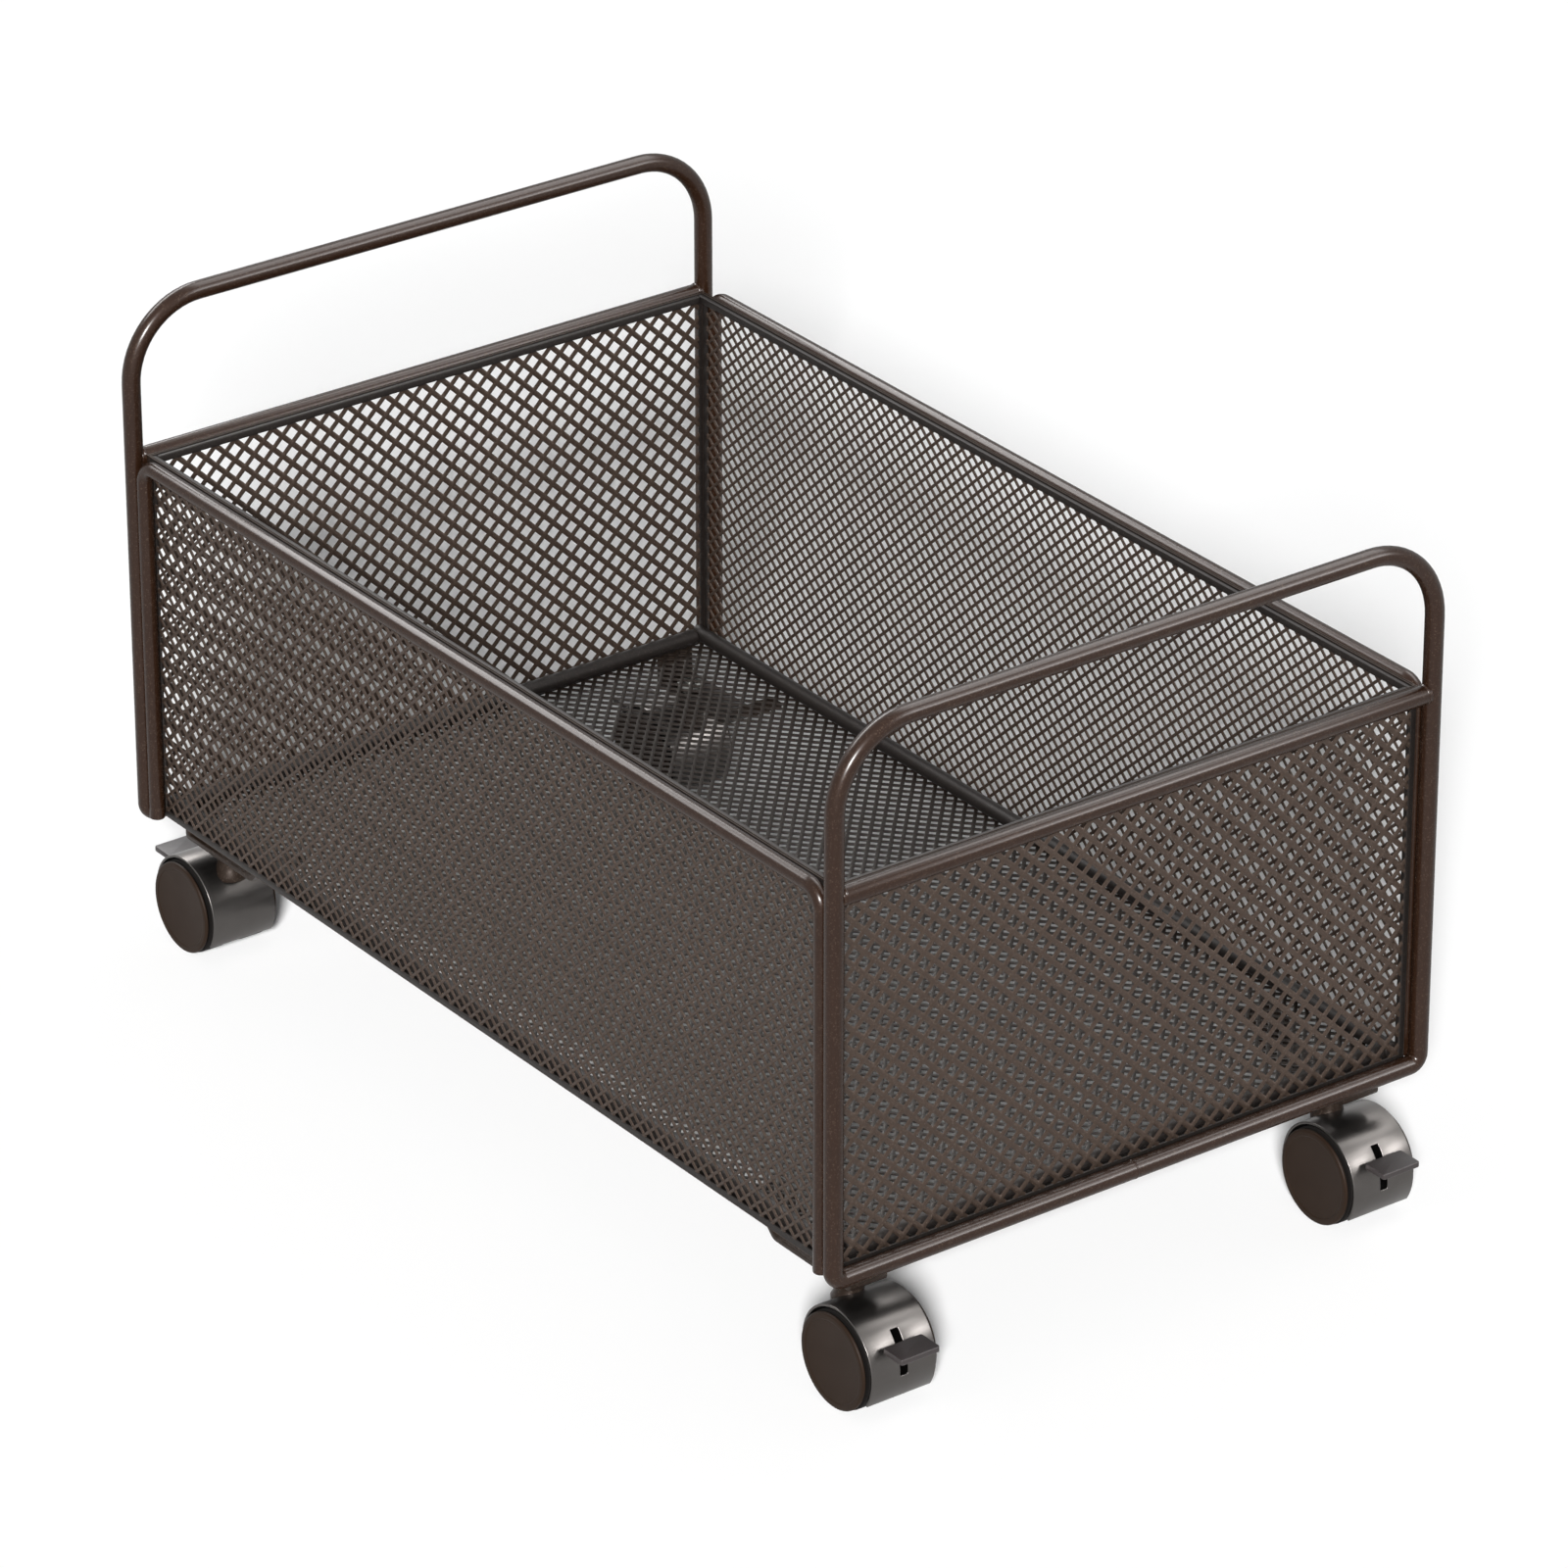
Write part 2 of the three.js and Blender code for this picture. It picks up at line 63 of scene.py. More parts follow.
# End frames. Each is one length of round steel rod, bent cold into a closed loop that is bottom rail,
# posts and handle in one. Its two ends are butt welded in the middle of the bottom rail. The welded
# frame and basket are sprayed together with a dark bronze paint that carries fine metal flakes.
ROD_SIDES = 32
BEND_STEPS = 16
HANDLE_BEND = 28 * MM
FOOT_BEND = 4 * MM
ROD_END_ROUND = 0.5 * MM
SEAM_HALF = 1.6 * MM  # half the width of the bead over the butt weld
SEAM_PROUD = 0.12 * MM
MIX_COLOURS = (6, 7)  # a Mix node's two colour inputs
MIX_RESULT = 2  # and its colour output


def srgb(red, green, blue):
    """A colour given as 0 to 255 on a screen, as the shader's linear values."""
    channels = [value / 255 for value in (red, green, blue)]
    return [c / 12.92 if c <= 0.04045 else ((c + 0.055) / 1.055) ** 2.4 for c in channels] + [1.0]


def wire(tree, kind, sockets=None, **settings):
    """A new node in a shader tree, with its settings made and its sockets filled or linked."""
    node = tree.nodes.new(kind)
    for setting, value in settings.items():
        setattr(node, setting, value)
    for socket, value in (sockets or {}).items():
        if isinstance(value, bpy.types.NodeSocket):
            tree.links.new(value, node.inputs[socket])
        else:
            node.inputs[socket].default_value = value
    return node


def surface_group(name, inputs):
    """An empty shader group for a finish, which puts out a colour, a roughness and a height."""
    group = bpy.data.node_groups.new(name, "ShaderNodeTree")
    for label, kind, value in inputs:
        group.interface.new_socket(label, in_out="INPUT", socket_type=kind).default_value = value
    group.interface.new_socket("Colour", in_out="OUTPUT", socket_type="NodeSocketColor")
    group.interface.new_socket("Roughness", in_out="OUTPUT", socket_type="NodeSocketFloat")
    group.interface.new_socket("Height", in_out="OUTPUT", socket_type="NodeSocketFloat")
    return group


def sprayed_paint_group():
    """Sprayed metallic paint: cloudy shade, tiny flakes and the slight orange peel of the coat."""
    group = surface_group("sprayed_paint", [
        ("Paint", "NodeSocketColor", srgb(80, 70, 63)),
        ("Flake", "NodeSocketColor", srgb(150, 138, 128)),
        ("Gloss roughness", "NodeSocketFloat", 0.35),
    ])
    given = wire(group, "NodeGroupInput").outputs
    place = wire(group, "ShaderNodeTexCoord").outputs["Object"]
    cloud = wire(group, "ShaderNodeTexNoise", {"Vector": place, "Scale": 55.0, "Detail": 4.0})
    flakes = wire(group, "ShaderNodeTexVoronoi", {"Vector": place, "Scale": 2600.0})
    peel = wire(group, "ShaderNodeTexNoise", {"Vector": place, "Scale": 850.0, "Detail": 2.0})

    shade = wire(group, "ShaderNodeMapRange", {
        "Value": cloud.outputs["Fac"], "To Min": 0.86, "To Max": 1.12})
    clouded = wire(group, "ShaderNodeVectorMath", {0: given["Paint"], "Scale": shade.outputs["Result"]},
                   operation="SCALE")
    fleck = wire(group, "ShaderNodeMapRange", {
        "Value": flakes.outputs["Color"], "From Min": 0.72, "From Max": 1.0, "To Min": 0.0, "To Max": 0.35})
    colour = wire(group, "ShaderNodeMix", {
        "Factor": fleck.outputs["Result"],
        MIX_COLOURS[0]: clouded.outputs["Vector"],
        MIX_COLOURS[1]: given["Flake"],
    }, data_type="RGBA")
    spread = wire(group, "ShaderNodeMapRange", {
        "Value": cloud.outputs["Fac"], "To Min": -0.05, "To Max": 0.07})
    roughness = wire(group, "ShaderNodeMath", {0: given["Gloss roughness"], 1: spread.outputs["Result"]})
    wire(group, "NodeGroupOutput", {
        "Colour": colour.outputs[MIX_RESULT], "Roughness": roughness.outputs[0],
        "Height": peel.outputs["Fac"]})
    return group


def finished(name, group, finish, bump, plain):
    """A material with colour, roughness and bump from a finish group, and plain values on its shader."""
    material = bpy.data.materials.new(name)
    material.use_nodes = True
    tree = material.node_tree
    shader = tree.nodes["Principled BSDF"]
    coat = wire(tree, "ShaderNodeGroup", node_tree=group)
    for socket, value in finish.items():
        coat.inputs[socket].default_value = value
    grain = wire(tree, "ShaderNodeBump", {
        "Height": coat.outputs["Height"], "Strength": bump, "Distance": 0.1 * MM})
    tree.links.new(coat.outputs["Colour"], shader.inputs["Base Color"])
    tree.links.new(coat.outputs["Roughness"], shader.inputs["Roughness"])
    tree.links.new(grain.outputs["Normal"], shader.inputs["Normal"])
    for socket, value in plain.items():
        shader.inputs[socket].default_value = value
    return material


sprayed_paint = sprayed_paint_group()
rod_paint = finished("rod_paint", sprayed_paint, {
    "Paint": srgb(34, 19, 10), "Flake": srgb(90, 74, 62), "Gloss roughness": 0.45}, 0.12, {
    "Metallic": 0.2, "Specular IOR Level": 0.0, "Coat Weight": 0.5, "Coat Roughness": 0.26})


def soften(mesh, width, segments, angle=math.radians(40)):
    """Rounds the mesh's sharp edges, as deburring and paint do."""
    sharp = [edge for edge in mesh.edges if edge.is_manifold and edge.calc_face_angle() > angle]
    bmesh.ops.bevel(mesh, geom=sharp, offset=width, segments=segments, profile=0.5, affect="EDGES",
                    material=-1, clamp_overlap=True)


def bent_rod(radius, corners, bends):
    """A round rod along straight legs with round bends: a ring is pulled along a leg and spun at a bend."""
    rod = bmesh.new()
    heading = (corners[1] - corners[0]).normalized()
    place = Matrix.Translation(corners[0]) @ heading.to_track_quat("Z", "X").to_matrix().to_4x4()
    bmesh.ops.create_circle(rod, segments=ROD_SIDES, radius=radius, matrix=place)
    start = tip = rod.edges[:]
    here = corners[0]
    for number, corner in enumerate(corners[1:]):
        heading = (corner - here).normalized()
        bend = bends[number] if number < len(bends) else 0
        onward = (corners[number + 2] - corner).normalized() if bend else heading
        turn = heading.angle(onward)
        setback = bend * math.tan(turn / 2)
        pulled = bmesh.ops.extrude_edge_only(rod, edges=tip)["geom"]
        ring = [part for part in pulled if isinstance(part, bmesh.types.BMVert)]
        bmesh.ops.translate(rod, verts=ring, vec=corner - heading * setback - here)
        tip = [part for part in pulled if isinstance(part, bmesh.types.BMEdge) and part.is_boundary]
        if bend:
            axis = heading.cross(onward).normalized()
            centre = corner - heading * setback + axis.cross(heading) * bend
            spun = bmesh.ops.spin(rod, geom=ring + tip, cent=centre, axis=axis, angle=turn,
                                  steps=BEND_STEPS)
            tip = [part for part in spun["geom_last"] if isinstance(part, bmesh.types.BMEdge)]
        here = corner + onward * setback
    if (corners[-1] - corners[0]).length < radius:
        bmesh.ops.remove_doubles(rod, verts=rod.verts, dist=radius / 100)
    else:
        for end in (start, tip):
            bmesh.ops.edgeloop_fill(rod, edges=end)
        soften(rod, ROD_END_ROUND, 3)
    return rod


def weld_bead(mesh, centre, size):
    """A smooth bead of weld metal, half sunk in the rods that it joins."""
    place = Matrix.Translation(centre) @ Matrix.Diagonal((*size, 1))
    bmesh.ops.create_uvsphere(mesh, u_segments=24, v_segments=12, radius=1, matrix=place)


def make_piece(name, mesh, material, body, node, smooth_angle=math.radians(35)):
    """The finished mesh as an object that rides on a body and stands for a CAD node."""
    bmesh.ops.recalc_face_normals(mesh, faces=mesh.faces)
    data = bpy.data.meshes.new(name)
    mesh.to_mesh(data)
    mesh.free()
    data.shade_smooth()
    data.set_sharp_from_angle(angle=smooth_angle)
    data.materials.append(material)
    piece = bpy.data.objects.new(name, data)
    bpy.context.scene.collection.objects.link(piece)
    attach(piece, body)
    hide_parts(node)
    return piece


for end in ("front", "rear"):
    low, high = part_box(f"end_frame_{end}")
    rod_radius = (high.x - low.x) / 2
    end_x = (high.x + low.x) / 2
    post_y = high.y - rod_radius
    rail_z = low.z + rod_radius
    handle_z = high.z - rod_radius
    loop = [
        Vector((end_x, 0, rail_z)),
        Vector((end_x, post_y, rail_z)),
        Vector((end_x, post_y, handle_z)),
        Vector((end_x, -post_y, handle_z)),
        Vector((end_x, -post_y, rail_z)),
        Vector((end_x, 0, rail_z)),
    ]
    rod = bent_rod(rod_radius, loop, [FOOT_BEND, HANDLE_BEND, HANDLE_BEND, FOOT_BEND])
    weld_bead(rod, loop[0], (rod_radius + SEAM_PROUD, SEAM_HALF, rod_radius + SEAM_PROUD))
    make_piece(f"end_loop_{end}", rod, rod_paint, "cart", f"end_frame_{end}")

# End crossbars. A straight length of the same rod between the two posts, at the height of the basket's
# rim. Its ends are cut to the posts' round and welded all round.
JOINT_HALF = 1.5 * MM  # half the width of the bead at a post
JOINT_PROUD = 0.1 * MM
JOINT_FILLET = 0.4 * MM  # how far the bead stands above and below the bar
for end in ("front", "rear"):
    low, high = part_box(f"end_crossbar_{end}")
    bar_x = (high.x + low.x) / 2
    bar_z = (high.z + low.z) / 2
    reach = post_y - rod_radius / 2
    bar = bent_rod(rod_radius, [Vector((bar_x, -reach, bar_z)), Vector((bar_x, reach, bar_z))], [])
    for side in (-1, 1):
        meeting = Vector((bar_x, side * (post_y - rod_radius), bar_z))
        weld_bead(bar, meeting, (rod_radius + JOINT_PROUD, JOINT_HALF, rod_radius + JOINT_FILLET))
    make_piece(f"rim_bar_{end}", bar, rod_paint, "cart", f"end_crossbar_{end}")

# Side frames. A thinner rod bent into an upside-down U: its long leg is the basket's side rim, and its
# short legs stand beside the end frames' posts, tacked to them with weld beads.
SIDE_BEND = 7 * MM
TACK_SIZE = (1.1 * MM, 1.4 * MM, 4 * MM)
TACK_INSET = 14 * MM  # from the leg's foot and from the rim to the tacks
for side in ("left", "right"):
    low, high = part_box(f"side_frame_{side}")
    side_radius = (high.y - low.y) / 2
    side_y = (high.y + low.y) / 2
    leg_x = high.x - side_radius
    rim_z = high.z - side_radius
    bow = [
        Vector((-leg_x, side_y, low.z)),
        Vector((-leg_x, side_y, rim_z)),
        Vector((leg_x, side_y, rim_z)),
        Vector((leg_x, side_y, low.z)),
    ]
    rod = bent_rod(side_radius, bow, [SIDE_BEND, SIDE_BEND])
    for end in (-1, 1):
        for height in (low.z + TACK_INSET, rim_z - TACK_INSET):
            weld_bead(rod, Vector((end * high.x, side_y, height)), TACK_SIZE)
    make_piece(f"side_rim_{side}", rod, rod_paint, "cart", f"side_frame_{side}")

# Mesh panels. Expanded steel sheet: slit and stretched so that it opens into diamonds, then rolled flat,
# cut to size and welded inside the rods. The floor and the sides are of a finer sheet than the ends. All
# are sprayed in bronze paint, which rounds the strands and is thicker on the floor. The floor's darker
# paint is painted shade, for the shade that the floor lies in.
COARSE_DIAMOND = (7.9 * MM, 7.5 * MM)  # width and height, in the end panels
COARSE_STRAND = 2.0 * MM
FINE_DIAMOND = (5.8 * MM, 5.3 * MM)  # in the sides and the floor
FINE_STRAND = 1.16 * MM
FLOOR_STRAND = 1.5 * MM
MESH_THICK = 1.0 * MM
FLANK_SHARE = 0.35  # of a strand's width, rounded off on each side of its crown
mesh_paint = finished("mesh_paint", sprayed_paint, {
    "Paint": srgb(57, 46, 39), "Flake": srgb(114, 101, 92), "Gloss roughness": 0.45}, 0.2, {
    "Metallic": 0.5, "Specular IOR Level": 0.3})
# Painted shade: the floor mesh's darker paint stands in for the shade that it lies in inside the basket.
floor_mesh_shade_paint = finished("floor_mesh_shade_paint", sprayed_paint, {
    "Paint": srgb(32, 26, 22), "Flake": srgb(80, 70, 62), "Gloss roughness": 0.45}, 0.2, {
    "Metallic": 0.3, "Specular IOR Level": 0.2})


def expanded_sheet(width, height, diamond, strand):
    """A flat panel of diamonds in XY: a grid is crossed by its diagonals, and each diamond is opened."""
    sheet = bmesh.new()
    columns = round(width / diamond[0])
    rows = round(height / diamond[1])
    bmesh.ops.create_grid(sheet, x_segments=columns, y_segments=rows, size=0.5)
    bmesh.ops.scale(sheet, verts=sheet.verts, vec=(width, height, 1))
    grid_lines = [edge for edge in sheet.edges if not edge.is_boundary]
    bmesh.ops.poke(sheet, faces=sheet.faces)
    bmesh.ops.dissolve_edges(sheet, edges=grid_lines)
    bmesh.ops.translate(sheet, verts=sheet.verts, vec=(0, 0, MESH_THICK / 2))
    diamonds = sheet.faces[:]
    flank = FLANK_SHARE * strand
    bmesh.ops.inset_individual(sheet, faces=diamonds, thickness=strand / 2 - flank, use_even_offset=True)
    bmesh.ops.inset_individual(sheet, faces=diamonds, thickness=flank, depth=-MESH_THICK / 2,
                               use_even_offset=True)
    bmesh.ops.delete(sheet, geom=diamonds, context="FACES")
    half = sheet.verts[:] + sheet.edges[:] + sheet.faces[:]
    bmesh.ops.mirror(sheet, geom=half, axis="Z", merge_dist=0.01 * MM)
    border = [edge for edge in sheet.edges if edge.is_boundary]
    bmesh.ops.bridge_loops(sheet, edges=border)
    return sheet


def panel_place(node, turn):
    """A CAD panel's width and height, and the matrix that lays a flat piece in its plane."""
    low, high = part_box(node)
    size = high - low
    across, up = [turn.to_3x3() @ Vector(axis) for axis in ((1, 0, 0), (0, 1, 0))]
    return abs(size.dot(across)), abs(size.dot(up)), Matrix.Translation((low + high) / 2) @ turn


lying = Matrix.Identity(4)
standing = Matrix.Rotation(math.radians(90), 4, "X")
facing_end = Matrix.Rotation(math.radians(90), 4, "Z") @ standing
PANELS = (
    ("floor", "mesh_floor", lying, FINE_DIAMOND, FLOOR_STRAND, floor_mesh_shade_paint),
    ("left", "mesh_side_left", standing, FINE_DIAMOND, FINE_STRAND, mesh_paint),
    ("right", "mesh_side_right", standing, FINE_DIAMOND, FINE_STRAND, mesh_paint),
    ("front", "mesh_end_front", facing_end, COARSE_DIAMOND, COARSE_STRAND, mesh_paint),
    ("rear", "mesh_end_rear", facing_end, COARSE_DIAMOND, COARSE_STRAND, mesh_paint),
)
for where, node, turn, diamond, strand, paint in PANELS:
    width, height, place = panel_place(node, turn)
    sheet = expanded_sheet(width, height, diamond, strand)
    bmesh.ops.transform(sheet, matrix=place, verts=sheet.verts)
    make_piece(f"mesh_sheet_{where}", sheet, paint, "cart", node,
               smooth_angle=math.radians(60))

# Panel edges. Each panel's cut strands end in a narrow flat bar that frames it, in the near-black paint
# of the basket's inner bars. That near-black is painted shade, for the shade in the basket's corners and
# along its inner edges.
EDGE_WIDTH = 2.4 * MM
EDGE_THICK = 1.1 * MM
EDGE_ROUND = 0.3 * MM
# Painted shade: this near-black paint stands in for the shade that the inner bars and panel edges lie in.
bar_paint = finished("bar_paint", sprayed_paint, {
    "Paint": srgb(26, 22, 20), "Flake": srgb(70, 62, 56), "Gloss roughness": 0.5}, 0.2, {
    "Metallic": 0.3, "Specular IOR Level": 0.25})


def edge_frame(width, height):
    """The flat bar round a panel, in XY: a plate is inset, its middle taken out and the rest pulled up."""
    bar = bmesh.new()
    below = Matrix.Translation((0, 0, -EDGE_THICK / 2))
    bmesh.ops.create_grid(bar, x_segments=1, y_segments=1, size=0.5, matrix=below)
    bmesh.ops.scale(bar, verts=bar.verts, vec=(width, height, 1))
    middle = bar.faces[:]
    bmesh.ops.inset_region(bar, faces=middle, thickness=EDGE_WIDTH, use_boundary=True,
                           use_even_offset=True)
    bmesh.ops.delete(bar, geom=middle, context="FACES")
    pulled = bmesh.ops.extrude_face_region(bar, geom=bar.faces[:])["geom"]
    upper = [part for part in pulled if isinstance(part, bmesh.types.BMVert)]
    bmesh.ops.translate(bar, verts=upper, vec=(0, 0, EDGE_THICK))
    bmesh.ops.recalc_face_normals(bar, faces=bar.faces)
    soften(bar, EDGE_ROUND, 2)
    return bar


for where, node, turn, *_ in PANELS:
    width, height, place = panel_place(node, turn)
    bar = edge_frame(width, height)
    bmesh.ops.transform(bar, matrix=place, verts=bar.verts)
    make_piece(f"panel_edge_{where}", bar, bar_paint, "cart", node)

# Rim strips. Flat steel bars welded along the inside of the panels' top edges, which hold the cut ends
# of the mesh between themselves and the rim rods. They stand a little lower than the rods' tops.
STRIP_DROP = 1.4 * MM
STRIP_ROUND = 0.35 * MM


def box_between(low, high):
    """A plain block between two corners."""
    block = bmesh.new()
    place = Matrix.Translation((low + high) / 2) @ Matrix.Diagonal((*(high - low), 1))
    bmesh.ops.create_cube(block, size=1, matrix=place)
    return block


# The strips take the near-black bar paint, which is painted shade, for the shade along the inside of the
# rim.
for where in ("left", "right", "front", "rear"):
    low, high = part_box(f"rim_strip_{where}")
    strip = box_between(low, high - Vector((0, 0, STRIP_DROP)))
    soften(strip, STRIP_ROUND, 3)
    make_piece(f"rim_bar_strip_{where}", strip, bar_paint, "cart", f"rim_strip_{where}")

# Floor rails. Four straight rods that lie on the floor panel along the foot of the walls, welded through
# the mesh, and stiffen the basket's bottom edges. They are painted like the rim strips, in near-black
# painted shade, for the shade at the foot of the walls.
for where in ("left", "right", "front", "rear"):
    low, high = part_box(f"floor_rail_{where}")
    middle = (low + high) / 2
    rail_radius = (high.z - low.z) / 2
    half_run = Vector(((high.x - low.x) / 2, 0, 0))
    if where in ("front", "rear"):
        half_run = Vector((0, (high.y - low.y) / 2, 0))
    rail = bent_rod(rail_radius, [middle - half_run, middle + half_run], [])
    make_piece(f"foot_rail_{where}", rail, bar_paint, "cart", f"floor_rail_{where}")

# Corner plates. Strips of steel plate with both ends bent up to the floor panel and welded to it, the
# outer end square and the inner one at 45 degrees. Each carries a caster's stem on its flat middle.
CORNERS = ("fl", "fr", "rl", "rr")
PLATE_THICK = 2.0 * MM
PLATE_INNER = 28 * MM  # from the stem to the bend of the inner end
PLATE_SLOPE = math.radians(45)
PLATE_BEND = 1.5 * MM
PLATE_ROUND = 0.3 * MM
NEAR = 0.1 * MM
plate_paint = finished("plate_paint", sprayed_paint, {
    "Paint": srgb(34, 25, 19), "Flake": srgb(100, 88, 78), "Gloss roughness": 0.42}, 0.2, {
    "Metallic": 0.4, "Specular IOR Level": 0.2})


def bent_plate(low, high, stem_x):
    """A corner plate within a CAD plate's box: its outline from the side is drawn, then pulled across."""
    end = math.copysign(1, stem_x)
    inner_tip, outer_face = sorted((abs(low.x), abs(high.x)))
    height = high.z - low.z
    rise = height - PLATE_THICK
    shift = PLATE_THICK * math.tan(PLATE_SLOPE / 2)
    low_bend = abs(stem_x) - PLATE_INNER
    high_bend = low_bend - rise / math.tan(PLATE_SLOPE)
    outline = [
        (inner_tip, rise),
        (high_bend, rise),
        (low_bend, 0),
        (outer_face, 0),
        (outer_face, height),
        (outer_face - PLATE_THICK, height),
        (outer_face - PLATE_THICK, PLATE_THICK),
        (low_bend + shift, PLATE_THICK),
        (high_bend + shift, height),
        (inner_tip, height),
    ]
    plate = bmesh.new()
    side = plate.faces.new([plate.verts.new((end * x, low.y, low.z + z)) for x, z in outline])
    pulled = bmesh.ops.extrude_face_region(plate, geom=[side])["geom"]
    far_side = [part for part in pulled if isinstance(part, bmesh.types.BMVert)]
    bmesh.ops.translate(plate, verts=far_side, vec=(0, high.y - low.y, 0))
    bmesh.ops.recalc_face_normals(plate, faces=plate.faces)
    bent = (low_bend, high_bend, low_bend + shift, high_bend + shift)
    bends = []
    for edge in plate.edges:
        at = (edge.verts[0].co + edge.verts[1].co) / 2
        across = abs(edge.verts[0].co.y - edge.verts[1].co.y) > MM
        outer_corner = abs(abs(at.x) - outer_face) < PLATE_THICK + NEAR and at.z < high.z - MM
        if across and (outer_corner or min(abs(abs(at.x) - x) for x in bent) < NEAR):
            bends.append(edge)
    bmesh.ops.bevel(plate, geom=bends, offset=PLATE_BEND, segments=5, profile=0.5, affect="EDGES",
                    material=-1, clamp_overlap=True)
    soften(plate, PLATE_ROUND, 2)
    return plate


for corner in CORNERS:
    low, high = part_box(f"caster_plate_{corner}")
    stem_low, stem_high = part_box(f"caster_stem_{corner}")
    plate = bent_plate(low, high, (stem_low.x + stem_high.x) / 2)
    make_piece(f"corner_plate_{corner}", plate, plate_paint, "cart",
               f"caster_plate_{corner}")

# Swivel stems. Turned steel pins with a shoulder under the corner plate, zinc plated. The caster's neck
# turns on the lower part.
TURN_STEPS = 48
STEM_RADIUS = 2.2 * MM
SHOULDER_THICK = 1.2 * MM
SHOULDER_DROP = 1.5 * MM  # from the plate's underside to the shoulder's underside
STEM_ROUND = 0.3 * MM


def worked_metal_group():
    """Bare or plated metal: fine drawn lines along Y, a cloudy shade and a changing polish."""
    group = surface_group("worked_metal", [
        ("Metal", "NodeSocketColor", srgb(150, 150, 150)),
        ("Polish roughness", "NodeSocketFloat", 0.3),
    ])
    given = wire(group, "NodeGroupInput").outputs
    place = wire(group, "ShaderNodeTexCoord").outputs["Object"]
    drawn = wire(group, "ShaderNodeMapping", {"Vector": place, "Scale": (1.0, 0.06, 1.0)})
    lines = wire(group, "ShaderNodeTexNoise", {
        "Vector": drawn.outputs["Vector"], "Scale": 3200.0, "Detail": 3.0})
    cloud = wire(group, "ShaderNodeTexNoise", {"Vector": place, "Scale": 130.0, "Detail": 3.0})
    shade = wire(group, "ShaderNodeMapRange", {
        "Value": cloud.outputs["Fac"], "To Min": 0.88, "To Max": 1.1})
    colour = wire(group, "ShaderNodeVectorMath", {0: given["Metal"], "Scale": shade.outputs["Result"]},
                  operation="SCALE")
    spread = wire(group, "ShaderNodeMapRange", {
        "Value": lines.outputs["Fac"], "To Min": -0.06, "To Max": 0.08})
    roughness = wire(group, "ShaderNodeMath", {0: given["Polish roughness"], 1: spread.outputs["Result"]})
    wire(group, "NodeGroupOutput", {
        "Colour": colour.outputs["Vector"], "Roughness": roughness.outputs[0],
        "Height": lines.outputs["Fac"]})
    return group


worked_metal = worked_metal_group()
zinc_steel = finished("zinc_steel", worked_metal, {
    "Metal": srgb(172, 172, 168), "Polish roughness": 0.34}, 0.15, {"Metallic": 1.0})


def turned(profile, axis, steps=TURN_STEPS):
    """A turned piece: an outline of (radius, along) points, closed or from axis to axis, spun once round."""
    work = bmesh.new()
    along_y = axis.y > 0
    points = [(radius, along, 0) if along_y else (radius, 0, along) for radius, along in profile]
    outline = [work.verts.new(point) for point in points]
    ends = zip(outline, outline[1:] + ([outline[0]] if profile[0][0] > 0 else []))
    sides = [work.edges.new(pair) for pair in ends]
    bmesh.ops.spin(work, geom=outline + sides, cent=(0, 0, 0), axis=axis, angle=math.tau, steps=steps,
                   use_merge=True)
    bmesh.ops.remove_doubles(work, verts=work.verts, dist=0.001 * MM)
    return work


ALONG_Y = Vector((0, 1, 0))
ALONG_Z = Vector((0, 0, 1))
for corner in CORNERS:
    low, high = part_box(f"caster_stem_{corner}")
    plate_low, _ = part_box(f"caster_plate_{corner}")
    middle = (low + high) / 2
    shoulder_radius = (high.x - low.x) / 2
    shoulder_z = plate_low.z - SHOULDER_DROP
    stem = turned([
        (0, low.z),
        (STEM_RADIUS, low.z),
        (STEM_RADIUS, shoulder_z),
        (shoulder_radius, shoulder_z),
        (shoulder_radius, shoulder_z + SHOULDER_THICK),
        (STEM_RADIUS, shoulder_z + SHOULDER_THICK),
        (STEM_RADIUS, high.z),
        (0, high.z),
    ], ALONG_Z)
    soften(stem, STEM_ROUND, 2)
    bmesh.ops.translate(stem, verts=stem.verts, vec=(middle.x, middle.y, 0))
    make_piece(f"swivel_stem_{corner}", stem, zinc_steel, "cart", f"caster_stem_{corner}")

# Stem nuts. Small zinc-plated hexagon nuts on the stems' upper ends, tightened down on the corner plates
# under the basket's floor.
NUT_BORE = 2.7 * MM
NUT_ROUND = 0.4 * MM
for corner in CORNERS:
    low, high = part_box(f"stem_nut_{corner}")
    middle = (low + high) / 2
    nut_radius = max(high.x - low.x, high.y - low.y) / 2
    nut = turned([(NUT_BORE, low.z), (nut_radius, low.z), (nut_radius, high.z), (NUT_BORE, high.z)],
                 ALONG_Z, steps=6)
    soften(nut, NUT_ROUND, 2)
    bmesh.ops.translate(nut, verts=nut.verts, vec=(middle.x, middle.y, 0))
    make_piece(f"lock_nut_{corner}", nut, zinc_steel, "cart", f"stem_nut_{corner}")

# Caster hoods. Pressed and plated metal drums over the wheels, open at the sides and the bottom, with a
# neck that turns on the stem, a web between the wheels that holds the axle, and a slot for the brake.
HOOD_WALL = 1.0 * MM
HOOD_ROUND = 0.3 * MM
LIP_STEPS = 6  # spin steps from the front lip to the slot
SLOT_STEPS = 10  # along the slot
CROWN_STEPS = 28  # from the slot over the crown to the back lip
WEB_SIDES = 64
SLOT_HALF = 1.5 * MM
SLOT_BOTTOM = -1.0 * MM  # from the axle
SLOT_TOP = 13.4 * MM
SLOT_BACK = 4.5 * MM
WEB_HALF = 3.6 * MM
NECK_RADIUS = 4.5 * MM
NECK_FLARE = 1.6 * MM
NECK_STEP = 2 * MM  # height of each of the flare's three steps
NECK_FOOT = 0.68  # of the hood's radius, from the axle up to the neck's foot
